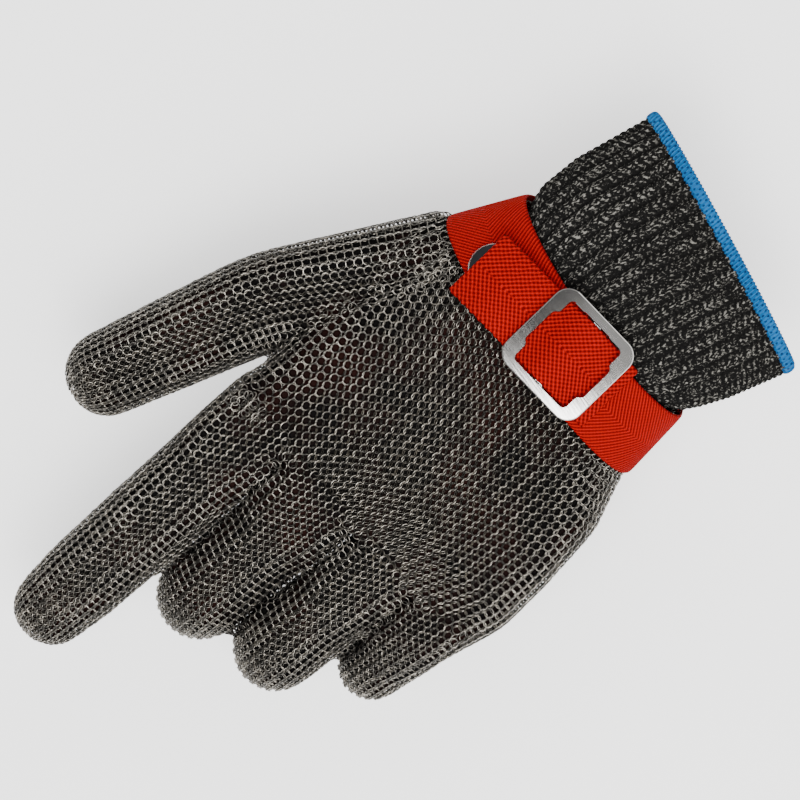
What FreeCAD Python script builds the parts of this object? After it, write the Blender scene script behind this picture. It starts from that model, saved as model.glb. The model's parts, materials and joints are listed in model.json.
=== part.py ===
import FreeCAD, Part
import math
import os
import Sketcher
from FreeCAD import Placement, Rotation, Vector

# Chain mail glove for a left hand, worn over a knitted liner glove and held by a wrist strap.
# Millimetres. The origin is the middle of the wrist under the strap: +X is the thumb side,
# +Y runs along the hand to the fingertips and +Z comes out of the back of the hand.
# The mail and the liner are soft: each is a set of plain shells that meet at the knuckles.

doc = FreeCAD.newDocument("ChainMailGlove")

# ---------------------------------------------------------------- driving dimensions
general = {
    "mail_wall": 2.0,
    "liner_wall": 1.4,
    "layer_gap": 0.2,
    "joint_gap": 0.4,
    "knuckle_gap": 1.7,
    "knuckle_swing": 70.0,
    "middle_swing": 95.0,
    "tip_swing": 56.0,
    "thumb_swing": 50.0,
    "thumb_tip_swing": 70.0,
    "knuckle_line_x": 31.0,
    "knuckle_line_y": 104.0,
    "knuckle_line_yaw": 8.0,
    "knuckle_line_z": 1.0,
    "palm_trim_width": 240.0,
    "palm_trim_depth": 60.0,
    "thumb_trim_width": 31.0,
    "thumb_trim_depth": 30.0,
    "cuff_wall": 1.8,
    "edging_width": 3.5,
    "edging_wall": 3.0,
    "mouth_yaw": -5.8,
    "thumb_overrun": 8.0,
    "root_flatness": 0.97,
}

strap = {
    "webbing_width": 25.0,
    "webbing_thick": 1.4,
    "wrist_tilt": 20.0,
    "strap_proximal_x": -1.2,
    "strap_proximal_half_width": 43.3,
    "strap_distal_x": 0.7,
    "strap_distal_half_width": 50.4,
    "strap_half_depth": 26.6,
    "buckle_x": -6.6,
    "buckle_y": 8.0,
    "buckle_z": 25.0,
    "buckle_yaw": 9.0,
    "buckle_roll": -4.0,
    "buckle_length": 32.5,
    "buckle_width": 32.0,
    "buckle_thick": 2.0,
    "buckle_corner": 5.5,
    "buckle_lift": 2.3,
    "window_width": 25.6,
    "window_end_length": 22.2,
    "window_middle_length": 25.4,
    "recess_width": 12.0,
    "recess_slope": 2.4,
    "centre_bar": 3.0,
    "centre_bar_thick": 1.5,
    "window_corner": 1.6,
    "rim_break": 0.3,
    "ply_clearance": 0.4,
    "snap_break": 0.4,
    "socket_gap": 0.3,
    "hump_inside": 4.2,
    "hump_reach": 8.4,
    "hump_height": 4.2,
    "ply_reach": 18.6,
    "ply_end_drop": 2.4,
    "flap_start": 20.0,
    "flap_bend": 30.5,
    "flap_end": 40.5,
    "flap_bend_drop": 2.2,
    "flap_end_drop": 6.1,
    "snap_radius": 8.2,
    "snap_thick": 0.9,
    "snap_tilt": 20.0,
    "snap_lean": 7.0,
    "stud_radius": 2.1,
    "stud_height": 2.3,
    "socket_radius": 5.4,
    "socket_bore": 2.5,
    "socket_thick": 1.2,
    "snap_x": 28.4,
    "snap_y": 11.0,
    "snap_z": 20.65,
}

# Each finger: where its knuckle lies across the hand, how far it leans towards the little
# finger, and for each zone its length, its radius and how far it is bent at rest.
finger_zones = ("proximal", "middle", "distal")
fingers = {
    "index": {
        "across": 31.0,
        "yaw": 6.3,
        "length": (46.0, 27.0, 11.5),
        "radius": (14.3, 13.9, 13.4),
        "bend": (8.0, 12.0, 8.0),
    },
    "middle": {
        "across": 1.0,
        "yaw": 5.0,
        "length": (50.5, 29.0, 12.5),
        "radius": (14.0, 13.7, 13.0),
        "bend": (22.0, 85.0, 48.0),
    },
    "ring": {
        "across": -28.5,
        "yaw": 4.0,
        "length": (45.0, 27.0, 12.0),
        "radius": (12.7, 12.4, 12.0),
        "bend": (23.0, 85.0, 48.0),
    },
    "little": {
        "across": -53.2,
        "yaw": 3.0,
        "length": (33.0, 21.5, 11.0),
        "radius": (10.6, 10.4, 10.0),
        "bend": (42.0, 80.0, 46.0),
    },
}
tip_radius_ratio = 0.93

thumb_zones = ("proximal", "distal")
thumb = {
    "x": 62.5,
    "y": 76.0,
    "z": -8.0,
    "yaw": -11.0,
    "length": (34.0, 18.0),
    "radius": (15.2, 14.8),
    "bend": (8.0, 8.0),
}
thumb_base = {
    "x": 34.0,
    "y": 20.0,
    "z": -5.0,
    "yaw": -22.0,
    "radius": 18.0,
}

# Rings around the hand from the hem to the fingers: the outer face of the mail.
hand_rings = {
    "hem": {"y": -10.0, "x": -1.1, "z": 0.0, "half_width": 42.2, "half_depth": 25.0, "tilt": 20.0},
    "wrist": {"y": 12.5, "x": 0.7, "z": 0.0, "half_width": 48.4, "half_depth": 25.0, "tilt": 20.0},
    "heel": {"y": 32.0, "x": -4.2, "z": 0.0, "half_width": 54.5, "half_depth": 22.5, "tilt": 12.0},
    "palm": {"y": 55.0, "x": -7.5, "z": 0.0, "half_width": 56.0, "half_depth": 20.5, "tilt": 0.0},
    "webs": {"y": 78.0, "x": -10.0, "z": 0.0, "half_width": 56.8, "half_depth": 19.5, "tilt": 0.0},
    "ends": {"y": 114.0, "x": -10.0, "z": 1.0, "half_width": 55.5, "half_depth": 17.5, "tilt": 0.0},
}

# Rings along the knitted cuff: its outer face, from the tuck under the mail to the mouth.
cuff_rings = {
    "tuck": {"y": 10.0, "x": 0.4, "z": 0.0, "half_width": 45.3, "half_depth": 22.6, "tilt": 20.0},
    "under": {"y": -10.5, "x": -1.1, "z": 0.0, "half_width": 39.8, "half_depth": 22.6, "tilt": 20.0},
    "bulge": {"y": -18.0, "x": -1.8, "z": 0.0, "half_width": 43.4, "half_depth": 23.5, "tilt": 17.0},
    "sleeve": {"y": -30.0, "x": -3.0, "z": 0.0, "half_width": 45.6, "half_depth": 21.0, "tilt": 9.0},
    "mouth": {"y": -52.5, "x": -6.0, "z": 0.0, "half_width": 46.4, "half_depth": 14.0, "tilt": 0.0},
}


# ---------------------------------------------------------------- the sheet
def named_zones(owner, table, zones):
    named = {}
    for part in ("length", "radius", "bend"):
        for zone, value in zip(zones, table[part]):
            named[f"{owner}_{zone}_{part}"] = value
    return named


def all_sizes():
    sizes = dict(general)
    sizes.update(strap)
    for finger, table in fingers.items():
        sizes[f"{finger}_across"] = table["across"]
        sizes[f"{finger}_yaw"] = table["yaw"]
        sizes.update(named_zones(finger, table, finger_zones))
    for key in ("x", "y", "z", "yaw"):
        sizes[f"thumb_{key}"] = thumb[key]
    sizes.update(named_zones("thumb", thumb, thumb_zones))
    for key, value in thumb_base.items():
        sizes[f"thumb_base_{key}"] = value
    for group, rings in (("hand", hand_rings), ("cuff", cuff_rings)):
        for ring, table in rings.items():
            for key, value in table.items():
                sizes[f"{group}_{ring}_{key}"] = value
    sizes["tip_radius_ratio"] = tip_radius_ratio
    return sizes


values = all_sizes()
sheet = doc.addObject("Spreadsheet::Sheet", "Sizes")
for row, (alias, value) in enumerate(values.items(), 1):
    sheet.set(f"A{row}", alias.replace("_", " "))
    sheet.set(f"B{row}", str(value))
    sheet.setAlias(f"B{row}", alias)
doc.recompute()


class Size:
    """A length that carries both its value and the sheet expression behind it."""

    def __init__(self, text, value):
        self.text = text
        self.value = value

    def __add__(self, other):
        other = as_size(other)
        return Size(f"({self.text} + {other.text})", self.value + other.value)

    def __sub__(self, other):
        other = as_size(other)
        return Size(f"({self.text} - {other.text})", self.value - other.value)

    def __mul__(self, other):
        other = as_size(other)
        return Size(f"({self.text} * {other.text})", self.value * other.value)

    def __truediv__(self, other):
        other = as_size(other)
        return Size(f"({self.text} / {other.text})", self.value / other.value)

    def __neg__(self):
        return Size(f"(-1 * {self.text})", -self.value)


def as_size(number):
    if isinstance(number, Size):
        return number
    return Size(str(number), number)


def size(alias):
    return Size(f"Sizes.{alias}", values[alias])


def tangent(angle):
    return Size(f"tan({angle.text} * 1 deg)", math.tan(math.radians(angle.value)))


# ---------------------------------------------------------------- sketches and bodies
built = []


def new_body(label):
    body = doc.addObject("PartDesign::Body", label)
    body.Label = label
    built.append(body)
    return body


def origin_plane(body, role):
    return next(item for item in body.Origin.OriginFeatures if item.Role == role)


def corner_value(corner):
    return Vector(as_size(corner[0]).value, as_size(corner[1]).value, 0)


def add_outline(sketch, corners, centres=None):
    """A closed outline through the corners. Side i is an arc where centres names its centre;
    a corner whose height is None slides on its arc."""
    centres = centres or {}
    first = sketch.GeometryCount
    count = len(corners)
    start_end = []
    points = []
    for corner in corners:
        height = corner[1]
        points.append(Vector(as_size(corner[0]).value, as_size(height[1]).value, 0)
                      if isinstance(height, tuple) else corner_value(corner))
    for side in range(count):
        here = points[side]
        there = points[(side + 1) % count]
        if side in centres:
            centre = corner_value(centres[side])
            turn = (here - centre).cross(there - centre).z
            lower, upper = (here, there) if turn > 0 else (there, here)
            angles = [math.atan2(p.y - centre.y, p.x - centre.x) for p in (lower, upper)]
            circle = Part.Circle(centre, Vector(0, 0, 1), (here - centre).Length)
            sketch.addGeometry(Part.ArcOfCircle(circle, *angles), False)
            start_end.append((1, 2) if turn > 0 else (2, 1))
        else:
            sketch.addGeometry(Part.LineSegment(here, there), False)
            start_end.append((1, 2))
    for side in range(count):
        following = (side + 1) % count
        sketch.addConstraint(Sketcher.Constraint(
            "Coincident", first + side, start_end[side][1],
            first + following, start_end[following][0]))
    for side, corner in enumerate(corners):
        bind_point(sketch, first + side, start_end[side][0], corner)
    for side, centre in centres.items():
        bind_point(sketch, first + side, 3, centre)


def bind_point(sketch, geometry, vertex, point):
    for kind, coordinate in zip(("DistanceX", "DistanceY"), point):
        if isinstance(coordinate, tuple):
            continue
        coordinate = as_size(coordinate)
        index = sketch.addConstraint(Sketcher.Constraint(
            kind, -1, 1, geometry, vertex, coordinate.value))
        if "Sizes." in coordinate.text:
            sketch.setExpression(f"Constraints[{index}]", coordinate.text)


def new_sketch(body, name, role, offset=None):
    sketch = body.newObject("Sketcher::SketchObject", name)
    sketch.AttachmentSupport = (origin_plane(body, role), [""])
    sketch.MapMode = "FlatFace"
    if offset:
        sketch.AttachmentOffset = offset
    return sketch


def revolve(body, sketch):
    feature = body.newObject("PartDesign::Revolution", f"{sketch.Name}_turned")
    feature.Profile = sketch
    feature.ReferenceAxis = (sketch, ["V_Axis"])
    feature.Angle = 360.0
    sketch.Visibility = False
    return feature


def pad_both_ways(body, sketch, length):
    feature = body.newObject("PartDesign::Pad", f"{sketch.Name}_pad")
    feature.Profile = sketch
    feature.setExpression("Length", as_size(length).text)
    feature.SideType = "Symmetric"
    return feature


def pocket_both_ways(body, sketch, length):
    """Cuts through on both sides of the sketch and makes sure that something was cut."""
    doc.recompute()
    before = body.Shape.Volume
    feature = body.newObject("PartDesign::Pocket", f"{sketch.Name}_cut")
    feature.Profile = sketch
    feature.setExpression("Length", as_size(length).text)
    feature.SideType = "Symmetric"
    doc.recompute()
    if body.Shape.Volume >= before - 0.01:
        raise RuntimeError(f"{feature.Name} cuts nothing")
    return feature


# ---------------------------------------------------------------- finger shells
def wedge_at_start(reach, gap, swing):
    """The palm side of a zone's near end, cut back by half of the joint's swing."""
    slope = tangent(swing / 2 + 1)
    return [
        (-gap * 8, 0.0),
        (gap, 0.0),
        (gap + reach * slope, -reach),
        (-gap * 8, -reach),
    ]


def wedge_at_end(reach, length, gap, swing):
    slope = tangent(swing / 2 + 1)
    return [
        (length - gap, 0.0),
        (length + gap * 8, 0.0),
        (length + gap * 8, -reach),
        (length - gap - reach * slope, -reach),
    ]


def zone_shell(label, place, length, outer, wall, gaps, swings, tip_depth=None):
    """One zone of a finger: a tapered tube with wedge-cut ends, or a domed tip."""
    body = new_body(label)
    profile = new_sketch(body, f"{label}_profile", "XY_Plane")
    near, far = outer
    near_gap, far_gap = gaps
    if tip_depth is None:
        end = length - far_gap
        add_outline(profile, [
            (near - wall, near_gap),
            (near, near_gap),
            (far, end),
            (far - wall, end),
        ])
    else:
        add_outline(profile, [
            (near - wall, near_gap),
            (near, near_gap),
            (far, length),
            (0.0, ("on arc", length + far)),
            (0.0, ("on arc", length + far - wall)),
            (far - wall, length),
        ], {2: (0.0, length), 4: (0.0, length)})
    revolve(body, profile)
    wedges = new_sketch(body, f"{label}_wedges", "YZ_Plane")
    reach = near + 4
    add_outline(wedges, wedge_at_start(reach, near_gap, swings[0]))
    if tip_depth is None:
        add_outline(wedges, wedge_at_end(reach, length, far_gap, swings[1]))
    pocket_both_ways(body, wedges, near * 3)
    body.Placement = place
    return body


def bent_on(place, bend):
    return place * Placement(Vector(), Rotation(Vector(1, 0, 0), -bend))


def knuckle_place(finger):
    line_slope = math.tan(math.radians(values["knuckle_line_yaw"]))
    across = values[f"{finger}_across"]
    forward = values["knuckle_line_y"] + (across - values["knuckle_line_x"]) * line_slope
    return Placement(Vector(across, forward, values["knuckle_line_z"]), Rotation(Vector(0, 0, 1), values[f"{finger}_yaw"]))


def digit_shells(digit, zones, place, swings, first_gap):
    """The mail and liner shells of one finger or thumb, zone by zone."""
    gap = size("joint_gap")
    layer_step = size("mail_wall") + size("layer_gap")
    for index, zone in enumerate(zones):
        place = bent_on(place, values[f"{digit}_{zone}_bend"])
        length = size(f"{digit}_{zone}_length")
        near = size(f"{digit}_{zone}_radius")
        last = index == len(zones) - 1
        if last:
            far = near * size("tip_radius_ratio")
        else:
            far = size(f"{digit}_{zones[index + 1]}_radius")
        gaps = (first_gap if index == 0 else gap, gap)
        pair = (swings[index], None if last else swings[index + 1])
        tip = length if last else None
        zone_shell(f"{digit}_mail_{zone}", place, length, (near, far),
                   size("mail_wall"), gaps, pair, tip)
        zone_shell(f"{digit}_liner_{zone}", place, length, (near - layer_step, far - layer_step),
                   size("liner_wall"), gaps, pair, tip)
        place = place * Placement(Vector(0, length.value, 0), Rotation())


def finger_shells():
    swings = (size("knuckle_swing"), size("middle_swing"), size("tip_swing"))
    for finger in fingers:
        digit_shells(finger, finger_zones, knuckle_place(finger), swings, size("knuckle_gap"))


def thumb_place():
    return Placement(Vector(values["thumb_x"], values["thumb_y"], values["thumb_z"]),
                     Rotation(Vector(0, 0, 1), values["thumb_yaw"]))


def thumb_shells():
    swings = (size("thumb_swing"), size("thumb_tip_swing"))
    digit_shells("thumb", thumb_zones, thumb_place(), swings, size("joint_gap") * 2)


# ---------------------------------------------------------------- hand, cuff and band shells
def ring_at(name, centre, half_width, half_depth, tilt=0.0, yaw=0.0):
    """An ellipse around the hand; a tilted one has its back towards the fingers."""
    ellipse = doc.addObject("Part::Ellipse", name)
    ellipse.setExpression("MajorRadius", half_width.text)
    ellipse.setExpression("MinorRadius", half_depth.text)
    stand_up = Rotation(Vector(1, 0, 0), 90 - tilt)
    ellipse.Placement = Placement(centre, Rotation(Vector(0, 0, 1), yaw) * stand_up)
    return ellipse


def loft_through(name, sections):
    loft = doc.addObject("Part::Loft", name)
    loft.Sections = sections
    loft.Solid = True
    loft.Ruled = True
    return loft


def table_ring(group, ring, name, inset, yaw=0.0):
    key = f"{group}_{ring}"
    centre = Vector(values[f"{key}_x"], values[f"{key}_y"], values[f"{key}_z"])
    return ring_at(f"{name}_{ring}", centre, size(f"{key}_half_width") - inset,
                   size(f"{key}_half_depth") - inset, values[f"{key}_tilt"], yaw)


def cut(name, base, tool):
    feature = doc.addObject("Part::Cut", name)
    feature.Base = base
    feature.Tool = tool
    return feature


def fuse(name, shapes):
    feature = doc.addObject("Part::MultiFuse", name)
    feature.Shapes = shapes
    return feature


def trim_blocks(name, place, gap, swing, width, depth):
    """What lies past a joint: everything beyond its upright plane and, on the palm side,
    beyond a plane leaned back by half of the joint's swing."""
    blocks = []
    for part, lean in (("upright", 0.0), ("leaned", swing / 2 + 1)):
        block = doc.addObject("Part::Box", f"{name}_{part}")
        block.Length = width
        block.Width = depth
        block.Height = depth * 2
        corner = Placement(Vector(-width / 2, 0, -depth), Rotation())
        back = Placement(Vector(0, -gap, 0), Rotation(Vector(1, 0, 0), -lean))
        block.Placement = place * back * corner
        blocks.append(block)
    return fuse(f"{name}_trim", blocks)


def thumb_root(name, inset):
    """The swelling of the palm that carries the thumb, drawn past its end to be trimmed."""
    past = thumb_place() * Placement(Vector(0, values["thumb_overrun"], 0), Rotation())
    near = Vector(values["thumb_base_x"], values["thumb_base_y"], values["thumb_base_z"])
    near_radius = size("thumb_base_radius") - inset
    far_radius = size("thumb_proximal_radius") - inset
    sections = [
        ring_at(f"{name}_near", near, near_radius, near_radius * size("root_flatness"),
                yaw=values["thumb_base_yaw"]),
        ring_at(f"{name}_far", past.Base, far_radius, far_radius * size("root_flatness"),
                yaw=values["thumb_yaw"]),
    ]
    return loft_through(name, sections)


def hand_shell(label, inset, wall, rings):
    """The hand of one layer: open at the wrist, at the four fingers and at the thumb."""
    swing = values["knuckle_swing"]
    palm = loft_through(f"{label}_palm", [table_ring("hand", r, f"{label}_palm", inset) for r in rings])
    palm_hollow = loft_through(
        f"{label}_hollow", [table_ring("hand", r, f"{label}_hollow", inset + wall) for r in rings])
    root = thumb_root(f"{label}_thumb_root", inset)
    root_hollow = thumb_root(f"{label}_thumb_hollow", inset + wall)
    thumb_trim = trim_blocks(f"{label}_thumb_end", thumb_place(), 2 * values["joint_gap"],
                             values["thumb_swing"], values["thumb_trim_width"],
                             values["thumb_trim_depth"])
    root = cut(f"{label}_thumb_trimmed", root, thumb_trim)
    line = Placement(Vector(values["knuckle_line_x"], values["knuckle_line_y"],
                                 values["knuckle_line_z"]),
                     Rotation(Vector(0, 0, 1), values["knuckle_line_yaw"]))
    finger_trim = trim_blocks(f"{label}_finger_end", line, values["knuckle_gap"], swing,
                              values["palm_trim_width"], values["palm_trim_depth"])
    outside = fuse(f"{label}_outside", [palm, root])
    inside = fuse(f"{label}_inside", [palm_hollow, root_hollow, finger_trim])
    shell = cut(label, outside, inside)
    shell.Label = label
    built.append(shell)
    return shell


def extended_ring(group, ring, name, inset, step, yaw=0.0):
    """A copy of a table ring moved along the hand, to carry a hollow past an open end."""
    copy = table_ring(group, ring, name, inset, yaw)
    copy.Placement.Base = copy.Placement.Base + Vector(0, step, 0)
    return copy


def cuff_shell():
    names = list(cuff_rings)
    wall = size("cuff_wall")
    yaws = {"mouth": values["mouth_yaw"]}
    outside = loft_through("cuff_outside", [
        table_ring("cuff", r, "cuff_outside", as_size(0.0), yaws.get(r, 0.0)) for r in names])
    hollow = loft_through("cuff_hollow", [
        table_ring("cuff", r, "cuff_hollow", wall, yaws.get(r, 0.0)) for r in names])
    shell = cut("knit_cuff", outside, hollow)
    shell.Label = "knit_cuff"
    built.append(shell)


def edging_shell():
    """The overlocked edge that closes the mouth of the cuff."""
    overhang = (size("edging_wall") - size("cuff_wall")) / 2
    width = values["edging_width"]
    yaw = values["mouth_yaw"]
    solids = []
    for part, inset in (("outside", -overhang), ("hollow", size("cuff_wall") + overhang)):
        rings = [extended_ring("cuff", "mouth", f"edging_{part}_{side}", inset, step, yaw)
                 for side, step in (("near", -0.1), ("far", -width))]
        solids.append(loft_through(f"edging_{part}", rings))
    shell = cut("cuff_edging", *solids)
    shell.Label = "cuff_edging"
    built.append(shell)


def strap_rings(name, offset):
    half = values["webbing_width"] / 2
    rings = []
    for side, step in (("proximal", -half), ("distal", half)):
        centre = Vector(values[f"strap_{side}_x"], step, 0)
        rings.append(ring_at(f"{name}_{side}", centre, size(f"strap_{side}_half_width") + offset,
                             size("strap_half_depth") + offset, values["wrist_tilt"]))
    return rings


def strap_band():
    """The webbing loop around the wrist."""
    outside = loft_through("strap_outside", strap_rings("strap_outside", as_size(0.0)))
    hollow = loft_through("strap_hollow", strap_rings("strap_hollow", -size("webbing_thick")))
    shell = cut("strap_band", outside, hollow)
    shell.Label = "strap_band"
    built.append(shell)


# ---------------------------------------------------------------- buckle, upper ply and flap
def buckle_place():
    turn = Rotation(Vector(0, 0, 1), values["buckle_yaw"])
    roll = Rotation(Vector(0, 1, 0), values["buckle_roll"])
    return Placement(Vector(values["buckle_x"], values["buckle_y"], values["buckle_z"]), turn * roll)


def upright_edges(shape, half_length_limit):
    """Names of the edges that stand straight up, inside or outside the given distance."""
    names = []
    for number, edge in enumerate(shape.Edges, 1):
        low, high = edge.BoundBox.ZLength, edge.CenterOfMass
        flat = edge.BoundBox.XLength + edge.BoundBox.YLength
        if low > 1.0 and flat < 0.01 and max(abs(high.x), abs(high.y)) > half_length_limit:
            names.append(f"Edge{number}")
    return names


def rounded(body, base, names, radius, name):
    doc.recompute()
    fillet = body.newObject("PartDesign::Fillet", name)
    fillet.Base = (base, names)
    fillet.setExpression("Radius", as_size(radius).text)
    doc.recompute()
    return fillet


def slider_buckle():
    """A stamped slider: a square frame with a shallow recess in each crossing bar, and the
    bar across the middle that the webbing climbs over."""
    body = new_body("slider_buckle")
    half_length = size("buckle_length") / 2
    half_width = size("buckle_width") / 2
    plate = new_sketch(body, "buckle_plate", "XY_Plane")
    add_outline(plate, [
        (-half_length, -half_width),
        (half_length, -half_width),
        (half_length, half_width),
        (-half_length, half_width),
    ])
    pad = body.newObject("PartDesign::Pad", "buckle_plate_pad")
    pad.Profile = plate
    pad.setExpression("Length", "Sizes.buckle_thick")
    doc.recompute()
    outer = rounded(body, pad, upright_edges(pad.Shape, 0), size("buckle_corner"), "buckle_corners")

    end = size("window_end_length") / 2
    middle = size("window_middle_length") / 2
    side = size("window_width") / 2
    recess = size("recess_width") / 2
    slope = recess + size("recess_slope") / 2
    window = new_sketch(body, "buckle_window", "XY_Plane")
    add_outline(window, [
        (-end, -side), (end, -side), (end, -slope), (middle, -recess),
        (middle, recess), (end, slope), (end, side), (-end, side),
        (-end, slope), (-middle, recess), (-middle, -recess), (-end, -slope),
    ])
    pocket_both_ways(body, window, size("buckle_thick") * 4)
    inner = body.Tip
    window_edges = [name for name in upright_edges(inner.Shape, 0)
                    if abs(inner.Shape.getElement(name).CenterOfMass.x) < half_length.value - 1
                    and abs(inner.Shape.getElement(name).CenterOfMass.y) < half_width.value - 1]
    rounded(body, inner, window_edges, values["window_corner"], "buckle_window_corners")

    bar = new_sketch(body, "buckle_bar", "XY_Plane")
    bar_half = size("centre_bar") / 2
    add_outline(bar, [
        (-bar_half, -side - 0.5), (bar_half, -side - 0.5), (bar_half, side + 0.5), (-bar_half, side + 0.5),
    ])
    bar_pad = body.newObject("PartDesign::Pad", "buckle_bar_pad")
    bar_pad.Profile = bar
    bar_pad.setExpression("Length", "Sizes.centre_bar_thick")
    doc.recompute()

    faces = [f"Face{number}" for number, face in enumerate(bar_pad.Shape.Faces, 1)
             if abs(face.CenterOfMass.z - values["buckle_thick"]) < 0.01]
    rim = body.newObject("PartDesign::Chamfer", "buckle_rim")
    rim.Base = (bar_pad, faces)
    rim.Size = values["rim_break"]
    doc.recompute()
    body.Placement = buckle_place() * Placement(Vector(0, 0, values["buckle_lift"]), Rotation())


def upper_ply():
    """The webbing threaded through the buckle: under both outer bars, over the middle one."""
    body = new_body("strap_upper_ply")
    profile = new_sketch(body, "ply_profile", "XZ_Plane")
    thick = size("webbing_thick")
    reach = size("ply_reach")
    foot = size("hump_reach")
    inside = size("hump_inside")
    height = size("hump_height")
    drop = size("ply_end_drop")
    low = size("ply_clearance")
    add_outline(profile, [
        (-reach, low - drop), (-foot - 4, low), (-foot, low), (-inside, height),
        (inside, height), (foot, low), (reach, low),
        (reach, low + thick), (foot + 0.8, low + thick), (inside + 0.8, height + thick),
        (-inside - 0.8, height + thick), (-foot - 0.8, low + thick), (-foot - 4, low + thick),
        (-reach, low - drop + thick),
    ])
    pad_both_ways(body, profile, size("webbing_width"))
    body.Placement = buckle_place()


def strap_flap():
    """The free end of the webbing, which snaps down beside the thumb."""
    body = new_body("strap_flap")
    profile = new_sketch(body, "flap_profile", "XZ_Plane")
    thick = size("webbing_thick")
    start = size("flap_start")
    bend = size("flap_bend")
    end = size("flap_end")
    low = size("ply_clearance")
    bend_low = low - size("flap_bend_drop")
    end_low = low - size("flap_end_drop")
    add_outline(profile, [
        (start, low), (bend, bend_low), (end, end_low),
        (end + 0.6, end_low + thick), (bend + 0.3, bend_low + thick), (start, low + thick),
    ])
    pad_both_ways(body, profile, size("webbing_width"))
    body.Placement = buckle_place()


def snap_place():
    turn = Rotation(Vector(0, 0, 1), values["buckle_yaw"])
    tilt = Rotation(Vector(0, 1, 0), values["snap_tilt"]) * Rotation(Vector(1, 0, 0), values["snap_lean"])
    return Placement(Vector(values["snap_x"], values["snap_y"], values["snap_z"]), turn * tilt)


def turned_part(label, corners, place):
    """A small turned piece whose axis stands out of the strap."""
    body = new_body(label)
    profile = new_sketch(body, f"{label}_profile", "XZ_Plane")
    add_outline(profile, corners)
    revolve(body, profile)
    body.Placement = place


def snap_parts():
    """A press stud: a disc with a stud on the band, and its socket under the flap."""
    radius = size("snap_radius")
    thick = size("snap_thick")
    stud = size("stud_radius")
    height = size("stud_height")
    edge_break = size("snap_break")
    turned_part("snap_disc", [
        (0.0, 0.0), (radius - edge_break, 0.0), (radius, thick / 2), (radius - edge_break, thick),
        (stud, thick), (stud, height - edge_break), (stud - edge_break, height), (0.0, height),
    ], snap_place())
    socket = size("socket_radius")
    bore = size("socket_bore")
    low = thick + size("socket_gap")
    high = low + size("socket_thick")
    turned_part("snap_socket", [
        (bore, low), (socket - edge_break, low), (socket, low + edge_break), (socket, high), (bore, high),
    ], snap_place())


# ---------------------------------------------------------------- build, check, write
def check_and_write():
    doc.recompute()
    for item in doc.Objects:
        if "Invalid" in item.State or "Error" in item.State:
            raise RuntimeError(f"{item.Label} failed: {item.State}")
    for item in built:
        if item.Shape.isNull() or not item.Shape.isValid():
            raise RuntimeError(f"{item.Label} has no valid shape")
    os.makedirs("parts", exist_ok=True)
    for item in built:
        item.Shape.exportStep(f"parts/{item.Label}.step")
        print(item.Label, len(item.Shape.Solids), round(item.Shape.Volume))


finger_shells()
thumb_shells()
hand_shell("hand_mail", as_size(0.0), size("mail_wall"), list(hand_rings))
hand_shell("hand_liner", size("mail_wall") + size("layer_gap"), size("liner_wall"), list(hand_rings)[1:])
cuff_shell()
edging_shell()
strap_band()
slider_buckle()
upper_ply()
strap_flap()
snap_parts()
check_and_write()
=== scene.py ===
import itertools
import json
import math
import bpy
import numpy as np
from mathutils import Matrix, Vector
from mathutils.bvhtree import BVHTree


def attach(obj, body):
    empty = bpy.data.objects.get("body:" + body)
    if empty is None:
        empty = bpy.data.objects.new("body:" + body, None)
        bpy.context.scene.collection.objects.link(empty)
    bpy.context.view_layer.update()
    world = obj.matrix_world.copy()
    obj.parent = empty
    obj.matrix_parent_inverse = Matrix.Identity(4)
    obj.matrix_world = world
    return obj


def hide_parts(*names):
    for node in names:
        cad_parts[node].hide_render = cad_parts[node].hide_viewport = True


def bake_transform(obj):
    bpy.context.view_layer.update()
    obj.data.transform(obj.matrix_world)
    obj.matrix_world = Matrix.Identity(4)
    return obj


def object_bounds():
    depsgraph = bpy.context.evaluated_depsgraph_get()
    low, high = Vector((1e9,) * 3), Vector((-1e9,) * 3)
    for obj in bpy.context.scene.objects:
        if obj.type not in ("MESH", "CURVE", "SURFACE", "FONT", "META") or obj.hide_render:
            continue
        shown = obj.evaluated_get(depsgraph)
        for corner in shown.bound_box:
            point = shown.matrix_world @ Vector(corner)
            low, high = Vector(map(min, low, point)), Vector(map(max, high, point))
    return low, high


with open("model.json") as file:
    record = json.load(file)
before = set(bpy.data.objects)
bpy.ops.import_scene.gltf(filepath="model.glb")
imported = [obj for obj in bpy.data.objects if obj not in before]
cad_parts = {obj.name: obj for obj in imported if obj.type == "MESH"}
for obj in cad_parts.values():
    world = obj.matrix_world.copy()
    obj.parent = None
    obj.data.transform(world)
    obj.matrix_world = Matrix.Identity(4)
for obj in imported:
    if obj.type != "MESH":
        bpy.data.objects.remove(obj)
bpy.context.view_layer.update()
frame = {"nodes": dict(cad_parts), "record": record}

mm = 0.001
joints = {j["name"]: j for j in frame["record"]["behaviour"]["joints"]}
seed = np.random.default_rng(7)


# small helpers for meshes
def startClean():
    if bpy.context.object and bpy.context.object.mode != "OBJECT":
        bpy.ops.object.mode_set(mode="OBJECT")
    bpy.ops.object.select_all(action="DESELECT")


def selectOnly(piece):
    startClean()
    piece.select_set(True)
    bpy.context.view_layer.objects.active = piece


def applyModifier(piece, kind, **values):
    selectOnly(piece)
    modifier = piece.modifiers.new(kind.title(), kind)
    for key, value in values.items():
        setattr(modifier, key, value)
    bpy.ops.object.modifier_apply(modifier=modifier.name)


def smooth(piece):
    piece.data.polygons.foreach_set("use_smooth", [True] * len(piece.data.polygons))
    piece.data.update()


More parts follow.
